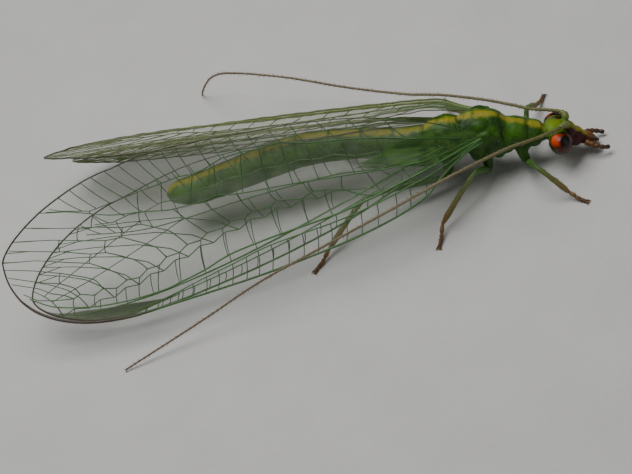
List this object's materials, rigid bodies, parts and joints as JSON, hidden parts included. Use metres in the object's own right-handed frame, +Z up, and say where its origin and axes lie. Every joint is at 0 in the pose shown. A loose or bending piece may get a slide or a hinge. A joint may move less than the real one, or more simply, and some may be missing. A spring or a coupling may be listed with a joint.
{
  "type": "green lacewing model",
  "caption": "Life-size still model of a resting green lacewing: slim green body, copper eyes, long swept-back feelers and clear roof-like wings with green veins.",
  "frame": {"origin": "on the floor under the middle of the whole insect, feelers and wings included", "axes": "+X towards the head, +Y to the insect's left, +Z up"},
  "size_m": [0.0162, 0.0111, 0.0036],
  "materials": {
    "thorax_green": "smooth cuticle, soft sheen",
    "abdomen_green": "soft cuticle with a yellow stripe along the back",
    "head_green": "smooth cuticle, soft sheen",
    "eye_copper": "domed, glossy, with a fine facet grain",
    "palp_brown": "smooth cuticle",
    "mouth_maroon": "smooth cuticle, soft sheen",
    "feeler_olive": "ringed and finely haired",
    "leg_green": "finely haired cuticle",
    "foot_brown": "finely haired cuticle",
    "forewing_membrane": "clear membrane with green veins",
    "hindwing_membrane": "clear membrane with green veins"
  },
  "bodies": {
    "root": {"prothorax": "thorax_green", "mesothorax": "thorax_green", "metathorax": "thorax_green", "abdomen": "abdomen_green", "head": "head_green", "eye_right": "eye_copper", "eye_left": "eye_copper", "palp_right": "palp_brown", "palp_left": "palp_brown", "mouthparts": "mouth_maroon", "scape_right": "head_green", "feeler_right_1": "feeler_olive", "feeler_right_2": "feeler_olive", "feeler_right_3": "feeler_olive", "scape_left": "head_green", "feeler_left_1": "feeler_olive", "feeler_left_2": "feeler_olive", "feeler_left_3": "feeler_olive", "leg_fore_right_coxa": "leg_green", "leg_fore_right_femur": "leg_green", "leg_fore_right_tibia": "leg_green", "leg_fore_right_tarsus": "foot_brown", "leg_mid_right_coxa": "leg_green", "leg_mid_right_femur": "leg_green", "leg_mid_right_tibia": "leg_green", "leg_mid_right_tarsus": "foot_brown", "leg_hind_right_coxa": "leg_green", "leg_hind_right_femur": "leg_green", "leg_hind_right_tibia": "leg_green", "leg_hind_right_tarsus": "foot_brown", "leg_fore_left_coxa": "leg_green", "leg_fore_left_femur": "leg_green", "leg_fore_left_tibia": "leg_green", "leg_fore_left_tarsus": "foot_brown", "leg_mid_left_coxa": "leg_green", "leg_mid_left_femur": "leg_green", "leg_mid_left_tibia": "leg_green", "leg_mid_left_tarsus": "foot_brown", "leg_hind_left_coxa": "leg_green", "leg_hind_left_femur": "leg_green", "leg_hind_left_tibia": "leg_green", "leg_hind_left_tarsus": "foot_brown", "forewing_right": "forewing_membrane", "hindwing_right": "hindwing_membrane", "forewing_left": "forewing_membrane", "hindwing_left": "hindwing_membrane"}
  },
  "joints": []
}
